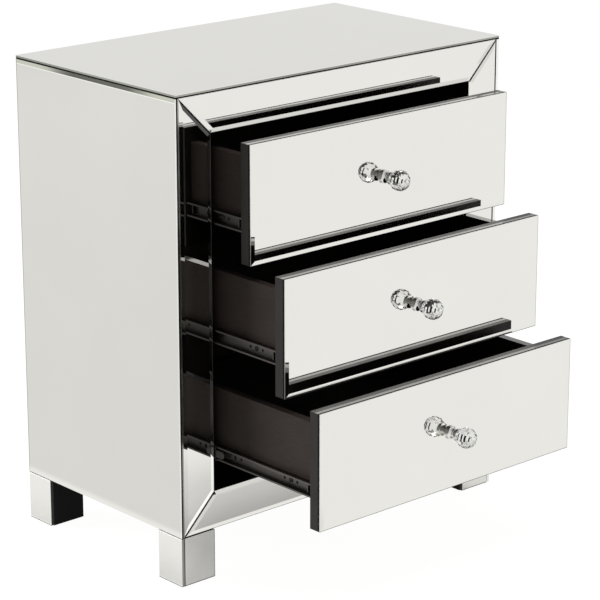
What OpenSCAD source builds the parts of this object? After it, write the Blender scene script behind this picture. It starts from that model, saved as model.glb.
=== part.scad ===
// Mirrored accent chest with three drawers on ball-bearing slides, drawn with its drawers part open.
// Millimetres. +Z is up, -Y is the front, and +X is to the right of someone who faces the front.

/* [Case] */
// Width over the side mirrors
case_w = 610; // [580:5:680]
// Depth from the back panel to the face of the frame mirrors
case_d = 355; // [345:5:420]
// Height of the top mirror above the floor
case_h = 700; // [660:5:780]
// Width of the mirrored frame round the drawers
frame_w = 55; // [45:1:65]
// Thickness of the top, bottom and side boards and of the face frame
board_t = 15; // [12:0.5:18]
// Thickness of the back panel
back_t = 5; // [3:0.5:8]
// Width of the rebate that holds the back panel
rebate_w = 8; // [7:0.5:10]
// Shank diameter of the screws that hold the back panel
back_screw_d = 3; // [2.5:0.5:3.5]
// Screws along each edge of the back panel
back_screw_count = 5; // [2:1:8]
// Height of a runner batten
batten_h = 45; // [36:1:60]

/* [Mirror] */
// Thickness of the mirror sheets
glass_t = 5; // [3:0.5:6]
// Width of the bevel ground on the frame and drawer mirrors
bevel_w = 6.5; // [4:0.5:15]
// Depth of the bevel at the edge of the sheet
bevel_depth = 1.4; // [0.6:0.1:2]
// Gap between neighbouring sheets
mirror_gap = 1; // [0.3:0.1:1.5]

/* [Feet] */
// Height of the underside of the case above the floor
foot_h = 75; // [55:1:110]
// Width of a foot over its mirror
foot_w = 59; // [48:1:70]
// Depth of a foot over its mirror
foot_d = 51; // [44:1:70]
// Thickness of the glide under a foot
glide_t = 2; // [1:0.5:4]
// Diameter of the glide
glide_d = 24; // [15:1:36]
// Shank diameter of the bolt that holds a foot
foot_bolt_d = 8; // [6:1:10]
// Length of the bolt that stands in the foot
foot_bolt_grip = 35; // [20:1:45]

/* [Drawers] */
// How far the top drawer stands open
top_out = 78; // [0:1:225]
// How far the middle drawer stands open
middle_out = 146; // [0:1:225]
// How far the bottom drawer stands open
bottom_out = 215; // [180:1:225]
// Gap above and below a drawer front
front_gap = 3; // [2:0.5:5]
// Gap at each side of a drawer front
side_gap = 2; // [1.5:0.5:4]
// Thickness of the front board
front_t = 15; // [12:0.5:18]
// Thickness of the sides and back of the box
box_t = 12; // [10:0.5:15]
// Height of the box's underside above the lower edge of the front
box_lift = 40; // [30:1:48]
// Height of the sides
box_h = 105; // [80:1:115]
// Thickness of the base panel
base_t = 5; // [3:0.5:6]
// Height of the base above the lower edge of the sides
base_lift = 8; // [6:0.5:12]
// Depth of the grooves that hold the base
groove_depth = 5.5; // [4:0.5:7]

/* [Slides] */
// Length of the slide members, which is also the length of the box
slide_l = 300; // [290:5:310]
// Room that a slide takes between the batten and the box
slide_gap = 12.7; // [12.5:0.1:14]
// Height of the cabinet member
slide_h = 27; // [25:0.5:32]
// Height of the slide's middle above the lower edge of the sides
slide_lift = 13; // [12:0.5:24]
// Sheet thickness of the members
sheet_t = 1.2; // [1:0.1:1.4]
// Depth of the rolled raceways
race_depth = 0.35; // [0.2:0.05:0.5]
// Diameter of the balls
ball_d = 3.4; // [3:0.1:3.5]
// Running clearance of a ball on its raceways
ball_clear = 0.05; // [0.03:0.01:0.1]
// Sheet thickness of the ball cage
cage_t = 0.6; // [0.5:0.1:0.7]
// Length of the ball cage
cage_l = 100; // [90:1:110]
// How far the cage's nose lies behind the members' front ends when the drawer is shut
cage_set_back = 67.5; // [60:0.5:75]
// Length of the cage's narrow nose
cage_nose = 18; // [12:1:24]
// Balls in each row
ball_count = 4; // [2:1:6]
// Distance between balls
ball_pitch = 20; // [10:1:24]
// Diameter of the screw holes in the members
slide_hole_d = 4.2; // [3.5:0.1:5]
// How much longer than wide the slot in the middle of three holes is
slide_slot = 3; // [1:0.5:5]
// Distance between the holes of a group
slide_hole_pitch = 12.5; // [11:0.5:15]
// Distance of the outermost hole from the end of its member
slide_hole_inset = 35; // [25:1:45]
// Height of the tab bent out of the drawer member
tab_h = 11; // [8:0.5:14]
// Distance of the tab from the front end of the drawer member
tab_inset = 8; // [4:0.5:14]

/* [Knobs] */
// Diameter of the cut-glass ball
crystal_d = 30; // [24:0.5:36]
// Distance of the ball's centre from the mirror
crystal_reach = 31; // [29:0.5:40]
// Radius of the ball's flat seat and of its flat front
crystal_flat = 6; // [4:0.5:8]
// Facets round the ball
crystal_facets = 12; // [8:1:16]
// Rings of facets from the seat to the front
crystal_rings = 5; // [3:1:7]
// Diameter of the chrome flange on the mirror
flange_d = 20; // [16:0.5:28]
// Thickness of the flange
flange_t = 3; // [2:0.5:5]
// Diameter of the stem at its waist
waist_d = 10; // [8:0.5:12]
// Thickness of the bead turned round the waist
bead_t = 2.4; // [1.6:0.2:3]
// Diameter of the cup under the ball
cup_d = 18; // [15:0.5:20]
// Shank diameter of the knob screw
knob_screw_d = 4; // [3:0.5:5]
// Length of the knob screw inside the stem
knob_screw_grip = 10; // [6:1:14]

/* [Hidden] */
DRAWERS = ["top", "middle", "bottom"];
CASE_NODES = ["top_board", "bottom_board", "side_board_left", "side_board_right", "back_panel",
  "frame_stile_left", "frame_stile_right", "frame_rail_top", "frame_rail_bottom",
  "runner_battens_left", "runner_battens_right",
  "top_mirror", "side_mirror_left", "side_mirror_right",
  "frame_mirror_top", "frame_mirror_bottom", "frame_mirror_left", "frame_mirror_right",
  "foot_front_left", "foot_front_right", "foot_back_left", "foot_back_right",
  "foot_mirrors", "foot_bolts", "foot_glides", "cabinet_slides_left", "cabinet_slides_right"];
DRAWER_NODES = ["front_board", "front_mirror", "side_left", "side_right", "box_back", "box_base",
  "drawer_slides", "ball_cages", "knob_ball", "knob_stem", "knob_screw"];
$fn = 48;

LEFT = -1;
RIGHT = 1;
FRONT = -1;
BACK = 1;

board_fit = 0.2;       // clearance of a panel in its groove or rebate
hole_fit = 0.25;       // clearance of a screw or bolt in its hole, on the radius
slide_set_back = 1;    // distance of the slides' front end behind the front board
lip_fit = 0.35;        // clearance between a rolled lip and the ball cage
cup_fit = 0.15;        // clearance of the cut ball in its cup
cup_rim = 0.8;         // thickness of the cup at its rim
glass_hole_fit = 1;    // clearance of the knob screw in the glass, on the radius
over = 1;              // how far a cutting shape runs past the face it cuts

half_w = case_w / 2;
half_d = case_d / 2;
case_top = case_h - glass_t;               // upper face of the top board
board_x = half_w - glass_t;                // outer face of a side board
inner_x = board_x - board_t;               // inner face of a side board
open_x = board_x - frame_w;                // side of the drawer opening
open_top = case_top - frame_w;
open_bottom = foot_h + frame_w;
frame_y = -half_d + glass_t;               // front face of the face frame
carcass_y = frame_y + board_t;             // front edge of the side boards

drawer_out = [top_out, middle_out, bottom_out];
drawer_count = len(DRAWERS);
front_x = open_x - side_gap;
front_h = (open_top - open_bottom - (drawer_count + 1) * front_gap) / drawer_count;
box_y = frame_y + front_t;                 // back of a closed drawer's front board
box_l = slide_l;                           // length of the box behind its front board
box_x = open_x - slide_gap;                // outer face of a box side
box_inner_x = box_x - box_t;
base_z = box_lift + base_lift;             // underside of the base panel
slide_z = box_lift + slide_lift;           // middle of the slides
slide_y = box_y + slide_set_back;          // front end of the slides on a closed drawer

half_slide = slide_h / 2;
flange_sheet = sheet_t + race_depth;       // a member's flange over its raceway
ball_z = half_slide - sheet_t - ball_clear - ball_d / 2;
ball_u = slide_gap / 2;                    // a ball's distance from the batten
race_r = ball_d / 2 + ball_clear;
inner_half = ball_z - race_r + race_depth; // half the height of the drawer member
lip_u = ball_d / 2 + lip_fit;              // a lip's distance from the balls' middle
cage_u = sheet_t + lip_fit;                // outer face of the cage's web
hole_groups = [slide_hole_inset + slide_hole_pitch, slide_l / 2 + slide_hole_pitch,
  slide_l - slide_hole_inset - slide_hole_pitch];

knob_z = front_h / 2;
seat_reach = crystal_reach - sqrt(pow(crystal_d / 2, 2) - pow(crystal_flat, 2));
knob_reach = 2 * crystal_reach - seat_reach;
cup_r = crystal_d / 2 + cup_fit;           // hollow of the cup
rim_reach = crystal_reach - sqrt(pow(cup_r, 2) - pow(cup_d / 2 - cup_rim, 2));
// The origin is at floor level, midway between the back and the foremost knob as drawn.
origin_shift = (max(drawer_out) + knob_reach) / 2;

function front_bottom(i) = open_top - (i + 1) * (front_h + front_gap);

// A board between two opposite corners
module board(low, high) translate(low) cube(high - low);

// A cylinder along Y from y0 to y1
module rod_y(d, y0, y1) translate([0, y1, 0]) rotate([90, 0, 0]) cylinder(d = d, h = y1 - y0);

// What lies on the left is drawn as it is, and what lies on the right is its mirror image.
module on_side(side) mirror([side == RIGHT ? 1 : 0, 0, 0]) children();

module in_case() translate([0, origin_shift, 0]) children();

module in_drawer(i) translate([0, origin_shift - drawer_out[i], front_bottom(i)]) children();

// A corner of a convex outline moved inwards by d, between the corner before and the corner after
function moved_in(before, corner, after, d) =
  let (a = (corner - before) / norm(corner - before), b = (after - corner) / norm(after - corner),
       na = [-a.y, a.x], nb = [-b.y, b.x])
    corner + d * (na + nb) / (1 + na * nb);

// A sheet of mirror standing upright, its face to the front, with a bevel ground on every edge.
// The outline runs anticlockwise as [x, z] seen from the front.
module bevelled_mirror(outline) {
  n = len(outline);
  face = [for (k = [0 : n - 1])
    moved_in(outline[(k + n - 1) % n], outline[k], outline[(k + 1) % n], bevel_w)];
  corners = [
    for (p = outline) [p.x, p.y, 0],
    for (p = outline) [p.x, p.y, glass_t - bevel_depth],
    for (p = face) [p.x, p.y, glass_t]];
  sides = [for (ring = [0, n], k = [0 : n - 1])
    let (next = (k + 1) % n) [ring + k, ring + n + k, ring + n + next, ring + next]];
  translate([0, frame_y, 0]) rotate([90, 0, 0]) polyhedron(corners, concat(
    [[for (k = [0 : n - 1]) k]],
    sides,
    [[for (k = [n - 1 : -1 : 0]) 2 * n + k]]));
}

// Countersunk screws hold the back panel along the middle of the rebate.
module at_back_screws() for (end = [-1, 1], k = [0 : back_screw_count - 1]) {
  share = (2 * k + 1) / back_screw_count - 1;
  mid_z = (case_top + foot_h) / 2;
  inner_h = (case_top - foot_h) / 2 - board_t;
  translate([share * inner_x, half_d, mid_z + end * (inner_h + rebate_w / 2)]) children();
  translate([end * (inner_x + rebate_w / 2), half_d, mid_z + share * inner_h]) children();
}

module back_rebate() board([-inner_x - rebate_w, half_d - back_t, foot_h + board_t - rebate_w],
  [inner_x + rebate_w, half_d + over, case_top - board_t + rebate_w]);

module top_board() color("#2b2521") difference() {
  board([-board_x, carcass_y, case_top - board_t], [board_x, half_d, case_top]);
  back_rebate();
}

module bottom_board() color("#2b2521") difference() {
  board([-board_x, carcass_y, foot_h], [board_x, half_d, foot_h + board_t]);
  back_rebate();
  for (side = [LEFT, RIGHT], end = [FRONT, BACK])
    at_foot_bolt(side, end) translate([0, 0, foot_h - over])
      cylinder(d = foot_bolt_d + 2 * hole_fit, h = board_t + 2 * over);
}

module side_board(side) color("#2b2521") on_side(side) difference() {
  board([-board_x, carcass_y, foot_h + board_t], [-inner_x, half_d, case_top - board_t]);
  back_rebate();
}

module back_panel() color("#3a332e") difference() {
  board([-inner_x - rebate_w + board_fit, half_d - back_t, foot_h + board_t - rebate_w + board_fit],
    [inner_x + rebate_w - board_fit, half_d, case_top - board_t + rebate_w - board_fit]);
  at_back_screws() rotate([90, 0, 0]) {
    translate([0, 0, -over]) cylinder(d = back_screw_d + hole_fit, h = back_t + 2 * over);
    cylinder(d1 = 2 * back_screw_d, d2 = back_screw_d, h = back_screw_d / 2);
  }
}

module frame_stile(side) color("#1c1917") on_side(side)
  board([-board_x, frame_y, foot_h], [-open_x, carcass_y, case_top]);

module frame_rail(z) color("#1c1917") board([-open_x, frame_y, z], [open_x, carcass_y, z + frame_w]);

// Three battens on each side bring the slides out flush with the opening.
module runner_battens(side) color("#6b5744") on_side(side) for (i = [0 : drawer_count - 1])
  translate([0, 0, front_bottom(i) + slide_z - batten_h / 2])
    board([-inner_x, carcass_y, 0], [-open_x, half_d - back_t - board_fit, batten_h]);

module top_mirror() color("#dddcd8")
  board([-half_w, -half_d, case_top], [half_w, half_d, case_h]);

module side_mirror(side) color("#d8d7d2") on_side(side)
  board([-half_w, -half_d, foot_h], [-board_x, half_d, case_top - mirror_gap / 2]);

// Frame mirrors: the inner corners are the opening's, the outer ones lie a frame's width away,
// and half the gap comes off along each mitre.
module frame_mirror_rail(z_in, z_out) color("#e8e7e2") {
  inner = open_x - mirror_gap / 2;
  outer = board_x - mirror_gap / 2;
  if (z_out > z_in) bevelled_mirror([[-inner, z_in], [inner, z_in], [outer, z_out], [-outer, z_out]]);
  else bevelled_mirror([[-outer, z_out], [outer, z_out], [inner, z_in], [-inner, z_in]]);
}

module frame_mirror_stile(side) color("#e8e7e2") on_side(side) {
  outer = board_x - mirror_gap / 2;
  trim = mirror_gap / 2;
  bevelled_mirror([[-outer, foot_h + mirror_gap], [-open_x, open_bottom + trim],
    [-open_x, open_top - trim], [-outer, case_top - mirror_gap]]);
}

// A bolt stands in the middle of its foot, and clear of the face frame.
module at_foot_bolt(side, end) {
  from_side = (foot_w + glass_t) / 2;
  from_end = max((foot_d + glass_t) / 2, glass_t + board_t + foot_bolt_d);
  translate([side * (half_w - from_side), end * (half_d - from_end), 0]) children();
}

// A foot block stands behind its side mirror, and behind a front mirror too if it is a front foot.
module foot_block(side, end) color("#1c1917") difference() {
  on_side(side) {
    if (end == FRONT) board([-board_x, frame_y, glide_t], [-half_w + foot_w, -half_d + foot_d, foot_h]);
    else board([-board_x, half_d - foot_d, glide_t], [-half_w + foot_w, half_d, foot_h]);
  }
  at_foot_bolt(side, end) translate([0, 0, foot_h - foot_bolt_grip - over])
    cylinder(d = foot_bolt_d + 2 * hole_fit, h = foot_bolt_grip + 2 * over);
}

module foot_mirrors() color("#dcdbd6") for (side = [LEFT, RIGHT]) on_side(side) {
  low = glide_t + mirror_gap;
  high = foot_h - mirror_gap;
  board([-half_w, -half_d, low], [-board_x, -half_d + foot_d, high]);
  board([-half_w, half_d - foot_d, low], [-board_x, half_d, high]);
  board([-board_x + mirror_gap / 2, -half_d, low], [-half_w + foot_w, frame_y, high]);
}

module foot_bolts() color("#9a9a98") for (side = [LEFT, RIGHT], end = [FRONT, BACK])
  at_foot_bolt(side, end) {
    head_h = 0.65 * foot_bolt_d;
    translate([0, 0, foot_h - foot_bolt_grip])
      cylinder(d = foot_bolt_d, h = foot_bolt_grip + board_t + head_h / 2);
    translate([0, 0, foot_h + board_t]) cylinder(d = 1.8 * foot_bolt_d, h = head_h, $fn = 6);
  }

module foot_glides() color("#2a2a2a") for (side = [LEFT, RIGHT], end = [FRONT, BACK])
  at_foot_bolt(side, end) cylinder(d = glide_d, h = glide_t);

// Slide sections are drawn as [distance from the batten, height from the slide's middle].
module slide_run(from, length) translate([-open_x, from + length, 0]) rotate([90, 0, 0])
  linear_extrude(length) children();

module raceways() for (end = [-1, 1]) translate([ball_u, end * ball_z]) circle(r = race_r);

// The cabinet member is a channel whose lips turn in over the balls.
module cabinet_section() difference() {
  reach = ball_u + lip_u + sheet_t;
  union() {
    translate([0, -half_slide]) square([sheet_t, slide_h]);
    for (end = [0, 1]) mirror([0, end]) {
      translate([0, half_slide - flange_sheet]) square([reach, flange_sheet]);
      translate([reach - sheet_t, ball_z + cage_t / 2 + lip_fit])
        square([sheet_t, half_slide - ball_z - cage_t / 2 - lip_fit]);
    }
  }
  raceways();
}

// The drawer member is a smaller channel, open to the batten, that runs inside the cabinet member.
module drawer_section() difference() {
  reach = slide_gap - ball_u + lip_u + sheet_t;
  union() {
    translate([slide_gap - sheet_t, -inner_half]) square([sheet_t, 2 * inner_half]);
    for (end = [0, 1]) mirror([0, end]) {
      translate([slide_gap - reach, inner_half - flange_sheet]) square([reach, flange_sheet]);
      translate([slide_gap - reach, inner_half - flange_sheet])
        square([sheet_t, ball_z - cage_t / 2 - lip_fit - inner_half + flange_sheet]);
    }
  }
  raceways();
}

// Screw holes in groups of three, the middle one a slot: upright at a turn of 0, level at 90
module slide_holes(u, turn) for (middle = hole_groups, k = [-1 : 1])
  translate([u - open_x, slide_y + middle + k * slide_hole_pitch, 0]) rotate([turn, 0, 0])
    rotate([0, 90, 0]) linear_extrude(2 * sheet_t + over, center = true) {
      slot = k == 0 ? slide_slot : 0;
      for (end = slot > 0 ? [-1, 1] : [0]) translate([end * slot / 2, 0]) circle(d = slide_hole_d);
      if (slot > 0) square([slot, slide_hole_d], center = true);
    }

module cabinet_slides(side) color("#55524f") on_side(side) for (i = [0 : drawer_count - 1])
  translate([0, 0, front_bottom(i) + slide_z]) difference() {
    slide_run(slide_y, slide_l) cabinet_section();
    slide_holes(sheet_t / 2, 90);
  }

// A tab is lanced from the drawer member's web near its front end and bent out towards the case.
module drawer_slides() color("#6a6764") for (side = [LEFT, RIGHT]) on_side(side)
  translate([0, 0, slide_z]) {
    web_u = slide_gap - sheet_t - open_x;
    tab_reach = slide_gap - sheet_t - ball_u;
    tab_y = slide_y + tab_inset;
    difference() {
      slide_run(slide_y, slide_l) drawer_section();
      slide_holes(slide_gap - sheet_t / 2, 0);
      board([web_u - over, tab_y + sheet_t, -tab_h / 2],
        [web_u + sheet_t + over, tab_y + sheet_t + tab_reach, tab_h / 2]);
    }
    board([web_u - tab_reach, tab_y, -tab_h / 2], [web_u + sheet_t / 2, tab_y + sheet_t, tab_h / 2]);
  }

// A cage is a thin strip round the drawer member that keeps two rows of balls apart. Its web is
// drawn as [distance from the front, height], with a narrow nose before the balls.
module cage_web() translate([cage_u - open_x, slide_y + cage_set_back, 0]) rotate([90, 0, 90])
  linear_extrude(cage_t) union() {
    translate([cage_nose, -ball_z]) square([cage_l - cage_nose, 2 * ball_z]);
    translate([ball_z / 2, -ball_z / 2]) square([cage_nose, ball_z]);
    translate([ball_z / 2, 0]) circle(d = ball_z);
  }

module cage_flanges() for (end = [-1, 1])
  board([cage_u - open_x, slide_y + cage_set_back + cage_nose, end * ball_z - cage_t / 2],
    [ball_u + lip_u + sheet_t / 2 - open_x, slide_y + cage_set_back + cage_l, end * ball_z + cage_t / 2]);

module at_balls() for (end = [-1, 1], k = [0 : ball_count - 1])
  translate([ball_u - open_x,
    slide_y + cage_set_back + (cage_l + cage_nose) / 2 + (k - (ball_count - 1) / 2) * ball_pitch,
    end * ball_z]) children();

module ball_cages() for (side = [LEFT, RIGHT]) on_side(side) translate([0, 0, slide_z]) {
  color("#b9b9b6") difference() {
    union() {
      cage_web();
      cage_flanges();
    }
    at_balls() cylinder(r = race_r, h = 2 * cage_t, center = true);
  }
  color("#d0d0d0") at_balls() sphere(d = ball_d, $fn = 24);
}

module front_board() color("#1c1917") difference() {
  board([-front_x, frame_y, 0], [front_x, box_y, front_h]);
  board([-box_inner_x - groove_depth, box_y - groove_depth, base_z],
    [box_inner_x + groove_depth, box_y + over, base_z + base_t + board_fit]);
  translate([0, 0, knob_z]) rod_y(knob_screw_d + 2 * hole_fit, frame_y - over, box_y + over);
}

module front_mirror() color("#ecebe6") difference() {
  bevelled_mirror([[-front_x, 0], [front_x, 0], [front_x, front_h], [-front_x, front_h]]);
  translate([0, 0, knob_z]) rod_y(knob_screw_d + 2 * glass_hole_fit, -half_d - over, frame_y + over);
}

// The base slides into grooves in the sides and the front board, under the back.
module base_groove() board([-box_inner_x - groove_depth, box_y - over, base_z],
  [box_inner_x + groove_depth, box_y + box_l + over, base_z + base_t + board_fit]);

module box_side(side) color("#3b3129") on_side(side) difference() {
  board([-box_x, box_y, box_lift], [-box_inner_x, box_y + box_l, box_lift + box_h]);
  base_groove();
}

module box_back() color("#3b3129") board(
  [-box_inner_x, box_y + box_l - box_t, base_z + base_t + board_fit],
  [box_inner_x, box_y + box_l, box_lift + box_h]);

module box_base() color("#2f2822") board(
  [-box_inner_x - groove_depth + board_fit, box_y - groove_depth + board_fit, base_z],
  [box_inner_x + groove_depth - board_fit, box_y + box_l, base_z + base_t]);

// Corners of the cut ball lie on rings round its axis, and each ring is turned half a facet.
module knob_ball() color("#eef2f2") {
  r = crystal_d / 2;
  first = asin(crystal_flat / r);
  step = (180 - 2 * first) / crystal_rings;
  n = crystal_facets;
  corners = [for (k = [0 : crystal_rings], j = [0 : n - 1])
    let (a = first + k * step, b = (j + (k % 2) / 2) * 360 / n)
      [r * sin(a) * cos(b), r * sin(a) * sin(b), r * cos(a)]];
  facets = [for (k = [0 : crystal_rings - 1], j = [0 : n - 1])
    let (a = k * n + j, b = k * n + (j + 1) % n, here = j + k % 2,
         c = (k + 1) * n + here % n, d = (k + 1) * n + (here + n - 1) % n)
      each [[a, b, c], [a, c, d]]];
  translate([0, -half_d - crystal_reach, knob_z]) rotate([90, 0, 0])
    polyhedron(corners, concat(
      [[for (j = [n - 1 : -1 : 0]) j]],
      facets,
      [[for (j = [0 : n - 1]) crystal_rings * n + j]]));
}

// The stem is turned: a stepped flange, a cove with a bead at its waist, and a cup hollowed round
// the ball's seat.
module knob_stem() color("#c9cbcc") {
  cove_r = (seat_reach - 2 * flange_t) / 2;
  translate([0, -half_d, knob_z]) rotate([90, 0, 0]) difference() {
    rotate_extrude() {
      translate([0, seat_reach - flange_t]) square([crystal_flat, flange_t]);
      translate([waist_d / 2, flange_t + cove_r]) circle(d = bead_t);
      difference() {
        union() {
          square([flange_d / 2, flange_t / 2]);
          square([(flange_d - flange_t) / 2, flange_t]);
          square([cup_d / 2, rim_reach]);
        }
        translate([waist_d / 2 + cove_r, flange_t + cove_r]) circle(r = cove_r);
        translate([waist_d / 2 + cove_r, flange_t]) square([cup_d, 2 * cove_r]);
        translate([0, crystal_reach]) circle(r = cup_r);
      }
    }
    translate([0, 0, -over]) cylinder(d = knob_screw_d + 2 * board_fit, h = knob_screw_grip + 2 * over);
  }
}

module knob_screw() color("#a8a8a6") translate([0, 0, knob_z]) {
  rod_y(knob_screw_d, -half_d - knob_screw_grip, box_y + knob_screw_d / 2);
  rod_y(2 * knob_screw_d, box_y, box_y + 0.6 * knob_screw_d);
}

in_case() top_board();
in_case() bottom_board();
in_case() side_board(LEFT);  // side_board_left
in_case() side_board(RIGHT);  // side_board_right
in_case() back_panel();
in_case() frame_stile(LEFT);  // frame_stile_left
in_case() frame_stile(RIGHT);  // frame_stile_right
in_case() frame_rail(open_top);  // frame_rail_top
in_case() frame_rail(foot_h);  // frame_rail_bottom
in_case() runner_battens(LEFT);  // runner_battens_left
in_case() runner_battens(RIGHT);  // runner_battens_right
in_case() top_mirror();
in_case() side_mirror(LEFT);  // side_mirror_left
in_case() side_mirror(RIGHT);  // side_mirror_right
in_case()  // frame_mirror_top
  frame_mirror_rail(open_top, case_top - mirror_gap / 2);
in_case() frame_mirror_rail(open_bottom, foot_h);  // frame_mirror_bottom
in_case() frame_mirror_stile(LEFT);  // frame_mirror_left
in_case() frame_mirror_stile(RIGHT);  // frame_mirror_right
in_case() foot_block(LEFT, FRONT);  // foot_front_left
in_case() foot_block(RIGHT, FRONT);  // foot_front_right
in_case() foot_block(LEFT, BACK);  // foot_back_left
in_case() foot_block(RIGHT, BACK);  // foot_back_right
in_case() foot_mirrors();
in_case() foot_bolts();
in_case() foot_glides();
in_case() cabinet_slides(LEFT);  // cabinet_slides_left
in_case() cabinet_slides(RIGHT);  // cabinet_slides_right
for (i = [0 : drawer_count - 1]) {
  in_drawer(i) front_board();
  in_drawer(i) front_mirror();
  in_drawer(i) box_side(LEFT);
  in_drawer(i) box_side(RIGHT);
  in_drawer(i) box_back();
  in_drawer(i) box_base();
  in_drawer(i) drawer_slides();
  translate([0, drawer_out[i] / 2, 0]) in_drawer(i) ball_cages();
  in_drawer(i) knob_ball();
  in_drawer(i) knob_stem();
  in_drawer(i) knob_screw();
}
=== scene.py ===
# A mirrored accent chest with its three drawers pulled out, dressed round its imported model.
import math

import bpy
import numpy as np
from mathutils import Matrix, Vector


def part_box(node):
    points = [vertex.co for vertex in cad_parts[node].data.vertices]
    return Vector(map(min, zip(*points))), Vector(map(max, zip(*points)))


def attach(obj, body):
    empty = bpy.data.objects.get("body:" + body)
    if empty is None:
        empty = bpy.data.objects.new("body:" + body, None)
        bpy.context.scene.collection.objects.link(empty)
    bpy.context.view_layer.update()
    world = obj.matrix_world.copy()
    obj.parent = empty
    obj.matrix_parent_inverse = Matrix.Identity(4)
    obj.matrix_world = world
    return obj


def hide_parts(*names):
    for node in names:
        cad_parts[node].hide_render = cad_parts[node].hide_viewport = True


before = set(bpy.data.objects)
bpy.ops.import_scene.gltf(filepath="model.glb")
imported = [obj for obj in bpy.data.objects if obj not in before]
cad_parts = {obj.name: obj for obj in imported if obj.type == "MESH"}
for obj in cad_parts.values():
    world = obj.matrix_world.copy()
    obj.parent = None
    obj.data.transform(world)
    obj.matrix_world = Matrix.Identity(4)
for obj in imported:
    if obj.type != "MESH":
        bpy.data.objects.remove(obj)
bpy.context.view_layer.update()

# ---- Camera
# The photograph is taken from the chest's front left, a little above its top, with a long lens.
# The camera is tilted down at the chest, without shift.
CAMERA_AT = (-2.3550, -2.5757, 1.4159)
LOOKS_DOWN = 17.03       # degrees below level
LOOKS_RIGHT = 41.909     # degrees to the right of straight back
LENS = 152.2             # focal length in mm, with a sensor SENSOR mm wide
SENSOR = 36
camera = bpy.data.objects.new("camera", bpy.data.cameras.new("camera"))
camera.location = CAMERA_AT
camera.rotation_euler = (math.radians(90 - LOOKS_DOWN), 0, -math.radians(LOOKS_RIGHT))
camera.data.lens = LENS
camera.data.sensor_width = SENSOR
camera.data.clip_end = 100
bpy.context.scene.collection.objects.link(camera)
bpy.context.scene.camera = camera
bpy.context.scene.view_settings.view_transform = "Standard"


# ---- Studio floor and light
# A seamless pale floor runs out to a white surround. It shows white to the camera and pale grey to
# the mirrors, and keeps the soft shadow of the chest. The lamps are large and soft.
class Wire:
    """An output of a shader node. Arithmetic on wires adds Math nodes to their tree."""

    def __init__(self, finish, socket):
        self.finish = finish
        self.socket = socket

    def math(self, operation, *others):
        """A Math node that takes this wire first."""
        return self.finish.math(operation, self, *others)

    def __add__(self, other):
        return self.math("ADD", other)

    def __radd__(self, other):
        return self.finish.math("ADD", other, self)

    def __sub__(self, other):
        return self.math("SUBTRACT", other)

    def __rsub__(self, other):
        return self.finish.math("SUBTRACT", other, self)

    def __mul__(self, other):
        return self.math("MULTIPLY", other)

    def __rmul__(self, other):
        return self.finish.math("MULTIPLY", other, self)

    def __truediv__(self, other):
        return self.math("DIVIDE", other)

    def __lt__(self, other):
        return self.math("LESS_THAN", other)

    def __gt__(self, other):
        return self.math("GREATER_THAN", other)

    def __or__(self, other):
        """The larger of the two, which for masks is either."""
        return self.math("MAXIMUM", other)

    def __abs__(self):
        return self.math("ABSOLUTE")


class Finish:
    """The look of a surface, or of the surround, built up node by node."""

    def __init__(self, block):
        block.use_nodes = True
        self.block = block
        self.tree = block.node_tree
        self.tree.nodes.clear()

    def node(self, kind, settings=None, sockets=None, output=0):
        """Adds a node: its settings first, then each socket gets a value or a wire."""
        node = self.tree.nodes.new("ShaderNode" + kind)
        for name, value in (settings or {}).items():
            setattr(node, name, value)
        for name, value in (sockets or {}).items():
            if isinstance(value, Wire):
                self.tree.links.new(value.socket, node.inputs[name])
            elif node.inputs[name].type == "RGBA" and len(value) == 3:
                node.inputs[name].default_value = (*value, 1)
            else:
                node.inputs[name].default_value = value
        return Wire(self, node.outputs[output]) if node.outputs else None

    def math(self, operation, *values):
        return self.node("Math", {"operation": operation}, dict(enumerate(values)))

    def coordinates(self):
        return self.node("TexCoord", output="Object")

    def outward(self):
        """The direction that each real face looks in."""
        return self.node("NewGeometry", output="True Normal")

    def split(self, vector):
        """The parts of a vector along X, Y and Z."""
        parts = self.node("SeparateXYZ", {}, {0: vector}).socket.node
        return [Wire(self, socket) for socket in parts.outputs]

    def vector(self, operation, sockets, output=0):
        return self.node("VectorMath", {"operation": operation}, sockets, output)

    def dot(self, first, second):
        """How far one vector goes along another."""
        return self.vector("DOT_PRODUCT", {0: first, 1: second}, output=1)

    def noise(self, size, stretch=(1, 1, 1), detail=3, rough=0.5):
        """Clouds from 0 to 1 whose lumps are about size across, in metres, and longer along each
        axis by its stretch."""
        scale = tuple(1 / (size * s) for s in stretch)
        place = self.node("Mapping", {}, {"Vector": self.coordinates(), "Scale": scale})
        return self.node("TexNoise", {}, {"Vector": place, "Scale": 1.0, "Detail": detail,
                                          "Roughness": rough})

    def ramp(self, value, low, high, start=0.0, end=1.0):
        """A value that runs smoothly from start at low to end at high, and stays there beyond."""
        return self.node("MapRange", {"interpolation_type": "SMOOTHSTEP"},
                         {"Value": value, "From Min": low, "From Max": high,
                          "To Min": start, "To Max": end})

    def spread(self, noise, start=0.0, end=1.0):
        """A noise drawn out from start to end: most of its values lie from 0.3 to 0.7."""
        return self.ramp(noise, 0.3, 0.7, start, end)

    def mix(self, share, first, second):
        """A colour between two colours."""
        return self.node("Mix", {"data_type": "RGBA"}, {0: share, 6: first, 7: second}, output=2)

    def mix_ways(self, share, first, second):
        """A direction between two directions."""
        return self.node("Mix", {"data_type": "VECTOR"}, {0: share, 4: first, 5: second}, output=1)

    def bump(self, height, distance, **sockets):
        return self.node("Bump", {}, {"Height": height, "Distance": distance, **sockets})

    def surface(self, **sockets):
        """The Principled shader with these sockets, written with _ for a space."""
        named = {name.replace("_", " "): value for name, value in sockets.items()}
        shader = self.node("BsdfPrincipled", {}, named)
        self.node("OutputMaterial", {}, {"Surface": shader})
        return self


def new_finish(name):
    return Finish(bpy.data.materials.new(name))


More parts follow.
